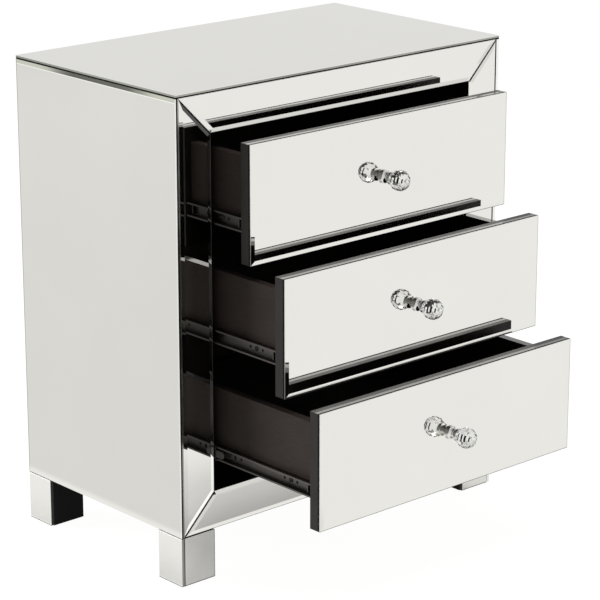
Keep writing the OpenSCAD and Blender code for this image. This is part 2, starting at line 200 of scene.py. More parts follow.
FLOOR_SIDE = 60.0
half = FLOOR_SIDE / 2
floor_mesh = bpy.data.meshes.new("studio_floor")
floor_mesh.from_pydata([(-half, -half, 0), (half, -half, 0), (half, half, 0), (-half, half, 0)],
                       [], [(0, 1, 2, 3)])
floor = bpy.data.objects.new("studio_floor", floor_mesh)
bpy.context.scene.collection.objects.link(floor)

FLAT_RIGHT = (-24, 11)   # where a grey flat stands and how far it spreads to each side, in degrees
FLAT_LEFT = (128.6, 1.0)
FLAT_BLUR = 0.4          # half the width of a flat's soft edge, in degrees
CARDS = 13               # dark cards that stand round the chest for the sake of the cut glass
CARD_SHARE = 0.13        # width of a card as a share of the way to the next
CARD_TURN = 40.62        # turns their ring, counted in cards
CARD_DARK = 0.6          # part of the light that a card takes away


def sight(finish):
    """What a ray has met on its way here: whether it looks straight from the camera or by way of
    shiny things, by way of two of them, or through glass. Light that has left a matt surface counts
    as none of these, so it finds the studio's own paint."""
    straight, glossy, passing, matt_depth, glossy_depth, glass_depth = (
        finish.node("LightPath", output=fact)
        for fact in ("Is Camera Ray", "Is Glossy Ray", "Is Transmission Ray",
                     "Diffuse Depth", "Glossy Depth", "Transmission Depth"))
    mirrored = (matt_depth < 0.5) * (glossy | passing)
    return straight, mirrored, glossy_depth > 1.5, glass_depth > 0.5


def bearing(across, along):
    """Where a place lies, seen from above: its angle anticlockwise from +X, in radians."""
    return along.math("ARCTAN2", across)


def cards(across, along):
    """1 in the bearings where a dark card stands, and 0 between them: the bearing is counted in
    cards, and its fraction is under a card's share."""
    turn = bearing(across, along) * (CARDS / math.tau) + CARD_TURN
    return turn.math("FRACT") < CARD_SHARE


def grey_flat(finish, across, along, at, spread):
    """1 in the bearings within spread degrees of at, where a grey flat stands far off."""
    off = bearing(across, along) * math.degrees(1) - at
    return finish.ramp(abs(off), spread - FLAT_BLUR, spread + FLAT_BLUR, 1, 0)


TINT = (1, 1, 0.995)     # colour of the studio's white
WHITE = 1.03             # brightness of the open floor
STRAIGHT_GAIN = 0.04     # how much brighter it is seen straight
SHADOW_SEEN = 0.09       # part of the floor's brightness that a shadow takes away, seen straight
SHADOW_MIRRORED = 0.59   # the same part, seen in a mirror, before and under the drawers
SHADOW_BESIDE = 0.02     # the same part, seen in a mirror, further off and on the chest's left
FLOOR_PAINT = (0.62, 0.62, 0.61)
# The floor in the mirrors, as ramps over X, Y or the distance: where each starts and ends, and the
# value at both. The studio is a little darker on the chest's left, which its side mirror shows.
DIM_LEFT = (-0.440, -0.424, 0.83, 1.0)
# What two shiny faces show of the floor before the chest's left corner is darker still.
CORNER_X, CORNER_Y, CORNER_DARK = (-0.45, -0.35, 1, 0), (0.0, 0.2, 1, 0), 0.6
# The shadow is deep before and under the drawers, and half as deep before the right front foot.
NEAR_X, NEAR_Y = (-0.42, -0.30, 0, 1), (-0.46, -0.34, 0, 1)
FOOT_X, FOOT_Y = (0.25, 0.29, 0, 0.5), (-0.30, -0.24, 0, 1)
# The grey flat on the right darkens the floor from its foot outwards.
FLAT_FOOT = (3.5, 4.0, 0, 0.82)
finish = new_finish("floor_paint")
straight, mirrored, twice, through = sight(finish)
across, along, _ = finish.split(finish.coordinates())
corner = finish.ramp(across, *CORNER_X) * finish.ramp(along, *CORNER_Y)
dim = finish.ramp(across, *DIM_LEFT)
dim = dim * (1 - twice * corner * CORNER_DARK) * (1 - through * cards(across, along) * CARD_DARK)
distance = (across * across + along * along).math("SQRT")
flat = grey_flat(finish, across, along, *FLAT_RIGHT) * finish.ramp(distance, *FLAT_FOOT)
dim = dim * (1 - flat)
near = finish.ramp(across, *NEAR_X) * finish.ramp(along, *NEAR_Y)
near = near * (1 - finish.ramp(across, *FOOT_X) * finish.ramp(along, *FOOT_Y))
deep = SHADOW_BESIDE + near * (SHADOW_MIRRORED - SHADOW_BESIDE)
shadow = SHADOW_SEEN + mirrored * (deep - SHADOW_SEEN)
level = (WHITE + straight * STRAIGHT_GAIN - shadow) * (1 - mirrored * (1 - dim))
glow = finish.node("Emission", {}, {"Color": TINT, "Strength": level})
matt = finish.node("BsdfDiffuse", {}, {"Color": finish.mix(shadow, (0, 0, 0), (1, 1, 1))})
shown = finish.node("AddShader", {}, {0: glow, 1: matt})
paint = finish.node("BsdfDiffuse", {}, {"Color": FLOOR_PAINT})
either = finish.node("MixShader", {}, {0: straight | mirrored, 1: paint, 2: shown})
finish.node("OutputMaterial", {}, {"Surface": either})
floor_mesh.materials.append(finish.block)

# The surround in the mirrors, as ramps over the height, which is the sine of the angle above level.
# Above the pale walls the ceiling is a little darker, and by way of glass it is nearly black, which
# gives cut glass its black lines. The grey flats end low on the walls.
WALLS = (0.45, 0.62, 0.845, 0.62)
CEILING_DARK = (0.45, 0.62, 0, 0.9)
FLAT_TOP = (0.08, 0.14, 0.87, 0)
# By way of two shiny faces only the big soft box on the front right is bright: its direction, and
# the light as a ramp over how nearly a ray goes that way.
BOX_WAY = (0.68, -0.67, 0.29)
BOX_LIGHT = (0.82, 0.96, 0.3, 2.1)
SOFT = 0.16              # light of the surround on matt surfaces
world = bpy.data.worlds.new("studio")
bpy.context.scene.world = world
finish = Finish(world)
straight, mirrored, twice, through = sight(finish)
way = finish.node("TexCoord", output="Generated")
across, along, height = finish.split(way)
walls = finish.ramp(height, *WALLS) * (1 - through * finish.ramp(height, *CEILING_DARK))
walls = walls * (1 - twice * (1 - finish.ramp(finish.dot(way, BOX_WAY), *BOX_LIGHT)))
walls = walls * (1 - through * cards(across, along) * CARD_DARK)
for flat in (FLAT_RIGHT, FLAT_LEFT):
    walls = walls * (1 - grey_flat(finish, across, along, *flat) * finish.ramp(height, *FLAT_TOP))
level = straight + (1 - straight) * (mirrored * walls + (1 - mirrored) * SOFT)
glow = finish.node("Background", {}, {"Color": TINT, "Strength": level})
finish.node("OutputWorld", {}, {"Surface": glow})

LAMPS = {                # each one's place, side and power
    "lamp_left": ((-2.4, 2.6, 1.5), 1.6, 120),
    "lamp_front_right": ((2.4, -2.6, 1.8), 1.8, 14),
    "lamp_overhead": ((0.0, -0.3, 3.4), 2.6, 60),
}
LIT_PLACE = (0, 0.1, 0.35)
for name, (place, side, power) in LAMPS.items():
    lamp = bpy.data.objects.new(name, bpy.data.lights.new(name, "AREA"))
    lamp.data.size = side
    lamp.data.energy = power
    lamp.location = place
    aim = np.array(LIT_PLACE) - np.array(place)
    lamp.rotation_euler = (math.atan2(math.hypot(aim[0], aim[1]), -aim[2]), 0,
                           math.atan2(aim[1], aim[0]) - math.pi / 2)
    lamp.visible_glossy = False
    bpy.context.scene.collection.objects.link(lamp)


# ---- Case boards
# The carcass is of 15 mm board, stained dark, glued and dowelled at its corners. The mirrors cover
# it outside, so it shows at the back, underneath and inside the mouth.
def dress(finish, *nodes):
    """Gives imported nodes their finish."""
    for name in nodes:
        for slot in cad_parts[name].material_slots:
            slot.material = finish.block


STAIN = (0.010, 0.008, 0.007), (0.022, 0.018, 0.015)
finish = new_finish("stained_board")
grain = finish.noise(0.004, stretch=(1, 1, 14), detail=4, rough=0.6)
cloud = finish.noise(0.09)
finish.surface(
    Base_Color=finish.mix(finish.spread(grain * 0.7 + cloud * 0.3), *STAIN),
    Roughness=finish.ramp(grain, 0.2, 0.8, 0.46, 0.62),
    Normal=finish.bump(grain, 0.0002))
dress(finish, "top_board", "bottom_board", "side_board_left", "side_board_right")

# ---- Back panel
# A 5 mm hardboard panel, let into a rebate round the back and held by countersunk screws. Its rough
# side has the print of the press screen.
HARDBOARD = (0.030, 0.022, 0.016), (0.055, 0.040, 0.029)
THREADS = 160.0          # fineness of the screen's print, as the scale of a wave
finish = new_finish("pressed_hardboard")
weave, weft = (
    finish.node("TexWave", {"wave_type": "BANDS", "bands_direction": direction},
                {"Vector": finish.coordinates(), "Scale": THREADS, "Distortion": 1.0})
    for direction in "XZ")
speckle = finish.noise(0.003, detail=4)
finish.surface(
    Base_Color=finish.mix(finish.ramp(speckle, 0.35, 0.65), *HARDBOARD),
    Roughness=0.7,
    Normal=finish.bump(weave * 0.3 + weft * 0.3 + speckle, 0.0003))
dress(finish, "back_panel")

ZINC = (0.42, 0.42, 0.41), (0.58, 0.57, 0.54)
zinc_plate = new_finish("zinc_plate")
grit = zinc_plate.noise(0.0008)
zinc_plate.surface(
    Base_Color=zinc_plate.mix(grit, *ZINC),
    Metallic=1.0,
    Roughness=zinc_plate.spread(grit, 0.28, 0.42),
    Normal=zinc_plate.bump(grit, 0.00003))

# A screw has SPOKES faces round it. The rings of its head are in radii, as are the depth of the
# cross and the widths of the slopes at the sides and ends of the cross.
SPOKES = 24
FACE = np.array((0.08, 0.16, 0.25, 0.35, 0.45, 0.56, 0.68, 0.84, 1.0))
RECESS, SIDE_SLOPE, END_SLOPE = 0.3, 0.08, 0.2
CROWN = 0.45             # part of its height that a head loses towards the rim
CREASE = 28              # degrees from which faces meet in a sharp edge


def screws(name, body, out, centres, radius, dome, flank, plate=zinc_plate):
    """Screws of one size as one piece that rides on a body.

    A screw is a profile carried round the direction out through its centre: over its head the
    height falls from dome at the axis by CROWN times dome times the square of the distance as a
    share of the radius, and flank gives the rest as (radius, height). The cross recess lowers the
    head by RECESS radii where the nearer line of the cross is within two SIDE_SLOPE radii and the
    farther one within three END_SLOPE, and runs out to nothing over one more of each."""
    out = np.array(out, float)
    across = np.roll(out, 1)
    upright = np.cross(out, across)
    rows = np.array([(radius * s, dome * (1 - CROWN * s * s)) for s in FACE] + list(flank))
    turn = np.arange(SPOKES) * math.tau / SPOKES
    a, b = rows[:, :1] * np.cos(turn), rows[:, :1] * np.sin(turn)
    near, far = np.minimum(abs(a), abs(b)) / radius, np.maximum(abs(a), abs(b)) / radius
    recess = RECESS * radius * np.clip(3 - near / SIDE_SLOPE, 0, 1)
    recess *= np.clip(4 - far / END_SLOPE, 0, 1)
    recess[len(FACE):] = 0
    head = (a[..., None] * across + b[..., None] * upright
            + (rows[:, 1:] - recess)[..., None] * out).reshape(-1, 3)
    tips = np.array((rows[0, 1] - recess[0].max(), rows[-1, 1]))[:, None] * out
    head = np.vstack((head, tips))
    row, spoke = np.mgrid[0:len(rows) - 1, 0:SPOKES]
    here, there = row * SPOKES + spoke, row * SPOKES + (spoke + 1) % SPOKES
    quads = np.stack((here, here + SPOKES, there + SPOKES, there), -1).reshape(-1, 4)
    spoke = np.arange(SPOKES)
    beyond, last_row = (spoke + 1) % SPOKES, (len(rows) - 1) * SPOKES
    tip = np.full(SPOKES, len(head) - 1)
    fans = np.vstack((np.stack((spoke, beyond, tip - 1), -1),
                      np.stack((last_row + beyond, last_row + spoke, tip), -1)))
    centres = np.array(centres, float)
    start = np.arange(len(centres))[:, None, None] * len(head)
    mesh = bpy.data.meshes.new(name)
    mesh.from_pydata(
        (centres[:, None] + head).reshape(-1, 3), [],
        (quads + start).reshape(-1, 4).tolist() + (fans + start).reshape(-1, 3).tolist())
    mesh.shade_smooth()
    mesh.set_sharp_from_angle(angle=math.radians(CREASE))
    mesh.materials.append(plate.block)
    piece = bpy.data.objects.new(name, mesh)
    bpy.context.scene.collection.objects.link(piece)
    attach(piece, body)
    return piece


BACK_SCREW = {"radius": 0.0029, "dome": 0.0,
              "flank": [(0.0015, -0.00145), (0.0014, -0.0016), (0.0014, -0.0048)]}
SUNK = 0.00005           # how far a countersunk head lies below the panel
PANEL_Z = 0.385          # middle of the panel
ROW_X, ROW_Z = 0.289, 0.299              # from there to the rows at its sides, top and bottom
SPREAD_X, SPREAD_Z = 0.285, 0.295        # half the reach of a row along X and along Z
STEPS = (-0.8, -0.4, 0, 0.4, 0.8)        # a row's screws, as shares of that
head_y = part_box("back_panel")[1][1] - SUNK
ends = (-1, 1)
places = [(step * SPREAD_X, head_y, PANEL_Z + end * ROW_Z) for end in ends for step in STEPS]
places += [(end * ROW_X, head_y, PANEL_Z + step * SPREAD_Z) for end in ends for step in STEPS]
screws("back_screws", "case", (0, 1, 0), places, **BACK_SCREW)

# ---- Face frame
# Two stiles and two rails of board painted satin black close the front of the carcass. Their inner
# edges are the mouth that the drawers run out of.
BLACK = (1.0, 0.9, 0.82)         # hue of the black paint, which a shade multiplies
DRIFT = (0.8, 1.25)              # how far the shade drifts down and up
DULL = 0.009                     # width of the rubbed strip along a back arris
SQUARE = 0.6                     # a face that looks one way by more than this faces that way


def black_paint(name, shade, gloss=0.30, shine=0.4, back_at=None):
    """Satin black paint: the sprayed orange peel is a bump, and the shade drifts a little. A board
    whose back is at back_at has clear lacquer over the paint of its top edge, rubbed dull along
    the back arris."""
    finish = new_finish(name)
    peel = finish.noise(0.0012, detail=2)
    cloud = finish.noise(0.05, detail=4)
    dark, pale = (tuple(shade * drift * part for part in BLACK) for drift in DRIFT)
    rough = finish.spread(cloud, gloss, gloss + 0.08)
    lacquer = 0.0
    if back_at is not None:
        depth = back_at - finish.split(finish.coordinates())[1]
        lacquer = (finish.split(finish.outward())[2] > SQUARE) * (depth > DULL)
    return finish.surface(
        Base_Color=finish.mix(finish.spread(cloud), dark, pale),
        Roughness=rough,
        Specular_IOR_Level=shine,
        Coat_Weight=lacquer,
        Coat_Roughness=0.10,
        Normal=finish.bump(peel, 0.00002))


frame_paint = black_paint("frame_paint", 0.008)
dress(frame_paint, "frame_stile_left", "frame_stile_right", "frame_rail_top", "frame_rail_bottom")

# ---- Runner battens
# Three softwood battens on each side, stained with the carcass, are screwed to the side boards and
# bring the slides out level with the mouth.
BATTEN_STAIN = (0.020, 0.014, 0.010), (0.050, 0.034, 0.023)
finish = new_finish("stained_batten")
grain = finish.noise(0.0025, stretch=(1, 24, 1), detail=5, rough=0.62)
finish.surface(
    Base_Color=finish.mix(finish.spread(grain), *BATTEN_STAIN),
    Roughness=0.6,
    Normal=finish.bump(grain, 0.0003))
dress(finish, "runner_battens_left", "runner_battens_right")

# ---- Mirrors of the case
# Every outer face is 5 mm silvered glass, glued on with mirror mastic. The strips round the mouth
# meet in mitres, and their edges are ground to a shallow bevel.
SILVER = (0.795, 0.788, 0.752)
WIPED = 0.985            # how bright it is where a wipe has left a film
# Painted reflection: low bevels that look right get this near-white silver, standing for the open
# floor that they catch.
LIT_SILVER = (0.99, 0.99, 0.96)          # of low bevels that look right, which catch the open floor
LIT_BEVEL = 0.45                         # how far a bevel has it, where a mitre has it wholly
BACKING, GLASS_LINE = (0.004, 0.004, 0.004), (0.03, 0.033, 0.028)    # paint and glass of an edge
GROUND = (0.40, 0.40, 0.36), (0.30, 0.30, 0.27)                      # glass ground pale
# The right side sheet's front end is the same ground glass, painted near white as a painted
# reflection of the bright studio.
PAINTED_BRIGHT_GROUND = (0.98, 0.98, 0.95), (0.92, 0.92, 0.89)                       # the same, clean of paint
# The bright arris is pale ground glass, brightened as a painted highlight; the dark one is a joint.
SEAM, GAP = (0.90, 0.90, 0.87), (0.01, 0.01, 0.01)                   # a bright arris, a dark one
RIM_GLASS, PAINTED_HIGHLIGHT_GLASS, TAIL_GLASS = (0.66, 0.68, 0.58), (0.97, 0.97, 0.94), (0.30, 0.32, 0.27)
# How far the glass of a bevel turns a reflection, as a share of the bevel's tilt: back for a plain
# one, and the other way for an upper mitre and for a low bevel that looks up.
BEVEL_BEND = 0.80
MITRE_BEND = 2.0         # in BEVEL_BENDs
LOW_BEND = 0.3
LEANS = 0.05             # a bevel or a mitre leans to a side by more than this
LEANS_WHOLLY = 0.17      # a bevel leans by more than this, and a mitre by less
# Depths behind the face: of a bevel's foot, of the arris of a sheet without one, of the line of
# glass in an edge, and of the paint in an edge of the top and in one that faces the front.
BEVEL_DROP, ARRIS_DROP = 0.0014, 0.0003
LINE, TOP_PAINT, FRONT_PAINT = (0.0022, 0.0029), 0.0031, (0.0004, 0.0029)
# How far the bright arris reaches in depth: on the face, in the gap of a mitre, and on the edge.
SEAM_ON_FACE, SEAM_AT_GAP, SEAM_ON_EDGE = 0.00016, 0.00024, 0.0002
# A side sheet: how far its rim and the painted highlight line under that come down, how far the rim
# looks up, and the length of the painted bright front end and of the darker back end.
RIM, RIM_LINE, RIM_RISE = 0.0052, 0.0066, 0.25
FRONT_END, TAIL = 0.0020, 0.0012
SHEET_LOW, SHEET_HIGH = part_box("side_mirror_left")
# How dark painted shade makes the arris where it looks down and where it looks right, and how far
# ground glass and the arris shine like metal.
DARK_UNDER, DARK_RIGHT = 0.88, 0.8
GROUND_SHINE, SEAM_SHINE = 0.85, 0.6
# Roughness of the face, and what a wipe, an edge or an arris, and paint add to it.
FACE_ROUGH, WIPE_ROUGH, PLAIN_ROUGH, PAINT_ROUGH = 0.012, 0.012, 0.14, 0.5


def silvered_glass(name, facing, front_at, left_bend=1.0, lit_below=0.0):
    """Mirror glass that faces one way, with its face at front_at along that way.

    Behind a bevel the silver stays flat, and the wedge of glass bends the reflection towards its
    thick side. So a bevel mirrors about the facing way, turned against the bevel's own tilt by
    BEVEL_BEND, or by left_bend of that on the left. Where it looks up it doesn't bend at all, but
    an upper mitre turns the other way by MITRE_BEND, and a bevel below lit_below by LOW_BEND.
    An edge shows the black backing paint with a grey-green line of glass in it. One that faces the
    front, or any edge of the top, is ground pale, with the paint as a dark line; on the right side
    sheet's front end there is no line, and the ground glass is painted near white, a painted
    reflection of the bright studio. A side sheet has a slight bevel along its top, too slight for
    the solids, over a painted highlight as a bright line, which also runs along its front end, and
    its back end is darker. Below lit_below, bevels that look right are given a near-white silver,
    a painted reflection of the open floor.

    The arris round the face is ground pale, and brightened as a painted highlight where it looks up
    or left; painted shade makes it grey on the right and dark underneath. It is dark where the paint
    fills the gap of an upper mitre."""
    finish = new_finish(name)
    outward = finish.outward()
    sideways, back, upward = finish.split(outward)
    _, along, height = finish.split(finish.coordinates())
    front = finish.dot(outward, facing)
    edge = front < SQUARE
    mitre = abs(sideways) > LEANS
    below = height < lit_below

    bend = (upward < LEANS) * (1 - (sideways < -LEANS_WHOLLY) * (1 - left_bend))
    bend = bend - (upward > LEANS) * (mitre * MITRE_BEND + (1 - mitre) * below * LOW_BEND)
    bend = bend * BEVEL_BEND
    ahead = finish.vector("SCALE", {0: facing, 3: 1 + bend * front})
    tilt = finish.vector("SCALE", {0: outward, 3: bend})
    bent = finish.vector("SUBTRACT", {0: ahead, 1: tilt})

    wipe = finish.noise(0.16)
    ripple = finish.noise(0.05, stretch=(1, 1, 2.5), detail=1)
    streak = finish.noise(0.03, stretch=(6, 6, 1), detail=2)
    silver = finish.mix(finish.spread(wipe), SILVER, tuple(WIPED * part for part in SILVER))
    # Painted reflection: near-white silver on low bevels that look right.
    if lit_below:
        lit = below * (sideways > LEANS) * (LIT_BEVEL + (1 - LIT_BEVEL) * (upward < -LEANS))
        silver = finish.mix(lit, silver, LIT_SILVER)
    if facing[0]:
        above = height - SHEET_HIGH[2]
        rim = above > -RIM
        # Painted highlight: a bright line under the rim and along the front end. The back end is
        # darker.
        bright = ((above > -RIM_LINE) * (1 - rim)) | (along < SHEET_LOW[1] + FRONT_END)
        bent = finish.mix_ways(rim, bent, (facing[0], 0, RIM_RISE))
        silver = finish.mix(rim, silver, RIM_GLASS)
        silver = finish.mix(bright, silver, PAINTED_HIGHLIGHT_GLASS)
        silver = finish.mix(along > SHEET_HIGH[1] - TAIL, silver, TAIL_GLASS)
    bent = finish.vector("NORMALIZE", {0: finish.mix_ways(edge, bent, outward)})

    depth = front_at - finish.dot(finish.coordinates(), facing)
    # The right sheet's front end has no line of paint, and is painted near white, a painted
    # reflection of the bright studio.
    lit_right_end = facing[0] > 0
    if facing[2]:
        pale = edge * (1 - (depth > TOP_PAINT))
    else:
        pale = edge * (back < -SQUARE)
        if not lit_right_end:
            pale = pale * (1 - (depth > FRONT_PAINT[0]) * (depth < FRONT_PAINT[1]))
    painted = finish.mix((depth > LINE[0]) * (depth < LINE[1]), BACKING, GLASS_LINE)
    ground = finish.mix(finish.ramp(streak, 0.35, 0.65), *(PAINTED_BRIGHT_GROUND if lit_right_end else GROUND))
    rough_edge = finish.mix(pale, painted, ground)

    drop = BEVEL_DROP if facing[1] else ARRIS_DROP
    gap = (upward > LEANS) * mitre
    seam = (1 - edge) * (depth > drop - SEAM_ON_FACE - gap * SEAM_AT_GAP)
    seam = seam + edge * (depth < drop + SEAM_ON_EDGE)
    dark = gap | ((upward < -LEANS_WHOLLY) * DARK_UNDER)
    dark = (dark | ((sideways > LEANS_WHOLLY) * DARK_RIGHT)) * (1 - edge)
    plain = edge | seam
    glass = finish.mix(edge, silver, rough_edge)
    return finish.surface(
        Base_Color=finish.mix(seam, glass, finish.mix(dark, SEAM, GAP)),
        Metallic=1 - plain + pale * GROUND_SHINE + seam * (1 - dark) * SEAM_SHINE,
        Specular_IOR_Level=0.1,
        Roughness=(FACE_ROUGH + plain * PLAIN_ROUGH + edge * (1 - pale) * PAINT_ROUGH
                   + finish.ramp(wipe, 0.45, 0.75) * WIPE_ROUGH),
        Normal=finish.bump(ripple, 0.00002, Normal=bent))


for side, way in (("left", -1.0), ("right", 1.0)):
    name = f"side_mirror_{side}"
    outer_x = max(abs(corner[0]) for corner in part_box(name))
    dress(silvered_glass(f"side_glass_{side}", (way, 0, 0), outer_x), name)
dress(silvered_glass("top_glass", (0, 0, 1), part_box("top_mirror")[1][2]), "top_mirror")
strip_glass = silvered_glass("strip_glass", (0, -1, 0), -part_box("frame_mirror_top")[0][1],
                             left_bend=0.3, lit_below=0.27)
dress(strip_glass, *(f"frame_mirror_{place}" for place in ("top", "bottom", "left", "right")))

# ---- Feet
# Four blocks painted black stand under the corners, each on a nailed plastic glide and held by a
# bolt from inside. Mirror covers their outer faces, and their inner faces stay black.
dress(black_paint("foot_paint", 0.006, gloss=0.42, shine=0.12),
      "foot_front_left", "foot_front_right", "foot_back_left", "foot_back_right")

FOOT_SILVER = (0.81, 0.803, 0.768), (0.795, 0.788, 0.752)
# The arris round each sheet is ground pale, and brightened as a painted highlight.
FOOT_ARRIS = (0.98, 0.98, 0.95)
# The dark of the backing paint, which also paints shade along the foot of each sheet.
FOOT_PAINT_AND_SHADE = (0.010, 0.011, 0.010)
# The ground front end of the right front foot is painted near white, a painted reflection of the
# bright studio.
FOOT_GROUND_AND_LIT_END = (0.36, 0.36, 0.32), (0.95, 0.95, 0.92)     # ground ends on the left and on the right
BOARD_X = 0.300          # outer faces of the blocks, under the side sheets
FOOT_WIDTH = 0.059       # from the outer face of the side sheets to the front sheets' inner ends
ARRIS = 0.0022           # width of the bright arris round each sheet
DARK_LINE = 0.0009       # width of the dark line along its foot, and of the paint at its back
DARK_END = 0.0008        # width of the dark line at a front sheet's inner end
ARRIS_DULL = 0.45        # how far the arris is from shining like metal
FOOT_ROUGH = 0.014
foot_low, foot_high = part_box("foot_mirrors")
inner_x = foot_high[0] - FOOT_WIDTH
finish = new_finish("foot_glass")
sideways, back, upward = finish.split(finish.outward())
across, along, height = finish.split(finish.coordinates())
out_from_middle = abs(across)
side_sheet = out_from_middle > BOARD_X
edge = (abs(upward) > SQUARE) | (side_sheet * (abs(back) > SQUARE))
edge = edge | ((1 - side_sheet) * (abs(sideways) > SQUARE))
arris = (height < foot_low[2] + ARRIS) | (height > foot_high[2] - ARRIS)
arris = (arris | ((1 - side_sheet) * (out_from_middle < inner_x + ARRIS))) * (1 - edge)
# Painted shade: a dark line along the foot of each sheet, over the floor. The dark line at a front
# sheet's inner end is the joint with the black block.
line = (height < foot_low[2] + DARK_LINE) | (
    (1 - side_sheet) * (out_from_middle < inner_x + DARK_END))
# The side sheets of the front feet show their ground front ends beside the front sheets, on the left
# with a line of paint. On the right the end is painted near white, a painted reflection of the
# studio.
pale = side_sheet * (back < -SQUARE) * (along < 0)
right = across > 0
paint = (out_from_middle < BOARD_X + DARK_LINE) * (1 - right)
wipe = finish.noise(0.03)
silver = finish.mix(finish.spread(wipe), *FOOT_SILVER)
ground = finish.mix(pale * (1 - paint), FOOT_PAINT_AND_SHADE, finish.mix(right, *FOOT_GROUND_AND_LIT_END))
finish.surface(
    Base_Color=finish.mix(edge | line, finish.mix(arris, silver, FOOT_ARRIS), ground),
    Metallic=1 - edge * (1 - pale * GROUND_SHINE) - arris * ARRIS_DULL,
    Roughness=FOOT_ROUGH + edge * PLAIN_ROUGH,
    Normal=finish.bump(wipe, 0.00002))
dress(finish, "foot_mirrors")

GLIDE = (0.012, 0.012, 0.012), (0.03, 0.03, 0.03)
finish = new_finish("glide_plastic")
scuff = finish.noise(0.004, detail=5)
finish.surface(
    Base_Color=finish.mix(scuff, *GLIDE),
    Roughness=finish.spread(scuff, 0.35, 0.6),
    Normal=finish.bump(scuff, 0.0001))
dress(finish, "foot_glides")

dress(zinc_plate, "foot_bolts")


# ---- Slides
# Each drawer hangs on a pair of ball-bearing slides rolled from zinc-plated strip: a channel
# screwed to the batten, a smaller one screwed to the drawer, and a cage of balls between them.
def rolled_steel(name, dark, pale):
    """Plated strip: fine lines drawn along the run, and a film of grease that dulls parts of it."""
    finish = new_finish(name)
    drawn = finish.noise(0.0006, stretch=(1, 160, 1))
    grease = finish.noise(0.02, stretch=(1, 3, 1), detail=4)
    return finish.surface(
        Base_Color=finish.mix(finish.spread(drawn), dark, pale),
        Metallic=1.0,
        Roughness=finish.ramp(grease, 0.35, 0.7, 0.36, 0.52),
        Normal=finish.bump(drawn, 0.00002))


DRAWERS = ("top", "middle", "bottom")
# Painted shade: the slides' steel is painted far darker than the zinc plate of the screws, for their
# place in the dark of the case; the cages a little darker still.
member_steel = rolled_steel("member_steel", (0.100, 0.091, 0.086), (0.165, 0.152, 0.144))
dress(member_steel, "cabinet_slides_left", "cabinet_slides_right")
cage_steel = rolled_steel("cage_steel", (0.090, 0.084, 0.079), (0.150, 0.140, 0.132))
for drawer in DRAWERS:
    dress(member_steel, f"{drawer}_drawer_slides")
    dress(cage_steel, f"{drawer}_ball_cages")

# One hole of each group has its screw, plated black: flush in the channels, and with a pan head on
# the drawers' members.
black_zinc = rolled_steel("black_zinc", (0.035, 0.033, 0.031), (0.070, 0.066, 0.062))
OPEN_X = 0.245           # inner faces of the battens, which the channels lie on
CHANNEL = 0.00112        # thickness of a channel, less the depth that its screws are sunk
MEMBER_X = 0.2335        # outer faces of the drawers' members
GROUPS = (0.0475, 0.1625, 0.2525)        # middles of the groups of holes, from the front end
PITCH = 0.0125           # between the holes of a group
DRAWER_HOLES = (0, 1, 1)                 # which hole of each group has the drawer's screw
CHANNEL_SCREW = {"radius": 0.00195, "dome": 0.0, "flank": [(0.00195, -0.00105)]}
MEMBER_SCREW = {"radius": 0.0034, "dome": 0.0017,
                "flank": [(0.0034, 0.0), (0.0019, 0.0), (0.0019, -0.0009)]}
channel_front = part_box("cabinet_slides_left")[0][1]
for side, way in (("left", -1.0), ("right", 1.0)):
    places = []
    for drawer in DRAWERS:
        low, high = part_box(f"{drawer}_drawer_slides")
        middle = (low[2] + high[2]) / 2
        places += [(way * (OPEN_X - CHANNEL), channel_front + at - PITCH, middle) for at in GROUPS]
        moving = [(way * MEMBER_X, low[1] + at + hole * PITCH, middle)
                  for at, hole in zip(GROUPS, DRAWER_HOLES)]
        screws(f"{drawer}_drawer_screws_{side}", f"{drawer}_drawer", (way, 0, 0), moving,
               plate=black_zinc, **MEMBER_SCREW)
    screws(f"cabinet_screws_{side}", "case", (-way, 0, 0), places,
           plate=black_zinc, **CHANNEL_SCREW)

# ---- Drawer boxes
# The boxes are of 12 mm board wrapped in a brown-black foil, with a 5 mm base in grooves. The back
# stands on the base, between the sides. The top edges have a band of glossy lacquer.
BOX_FOIL = (0.032, 0.0243, 0.0215), (0.051, 0.0402, 0.0358)
BASE_FOIL = (0.022, 0.018, 0.016), (0.036, 0.030, 0.026)
box_foil = new_finish("box_foil")
pore = box_foil.noise(0.0011, stretch=(1, 18, 1), detail=4, rough=0.6)
cloud = box_foil.noise(0.06, stretch=(1, 2, 1))
box_foil.surface(
    Base_Color=box_foil.mix(box_foil.spread(pore * 0.5 + cloud * 0.5), *BOX_FOIL),
    Roughness=box_foil.spread(cloud, 0.42, 0.52),
    Specular_IOR_Level=0.12,
    Coat_Weight=box_foil.split(box_foil.outward())[2] > SQUARE,
    Coat_Roughness=0.08,
    Normal=box_foil.bump(pore, 0.00004))
base_foil = new_finish("base_foil")
pore = base_foil.noise(0.0013, stretch=(18, 1, 1), detail=4, rough=0.6)
base_foil.surface(
    Base_Color=base_foil.mix(base_foil.spread(pore), *BASE_FOIL),
    Roughness=0.55,
    Normal=base_foil.bump(pore, 0.00008))
for drawer in DRAWERS:
    dress(box_foil, *(f"{drawer}_{part}" for part in ("side_left", "side_right", "box_back")))
    dress(base_foil, f"{drawer}_box_base")

# ---- Drawer fronts
# A front is a black board with its own bevelled mirror glued to it. Its edges are painted, and show
# dark all round the glass. All fronts have one paint, but the lower ones stand further out in the
# light, so the top one's paint is painted darker, as painted shade.
FRONT_PAINTED_SHADES = (0.0140, 0.0195, 0.0195)
for drawer, shade in zip(DRAWERS, FRONT_PAINTED_SHADES):
    name = f"{drawer}_front_board"
    dress(black_paint(f"{drawer}_front_paint", shade, gloss=0.34, shine=0.25,
                      back_at=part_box(name)[1][1]), name)
    name = f"{drawer}_front_mirror"
    dress(silvered_glass(f"{drawer}_front_glass", (0, -1, 0), -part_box(name)[0][1], left_bend=1.25),
          name)

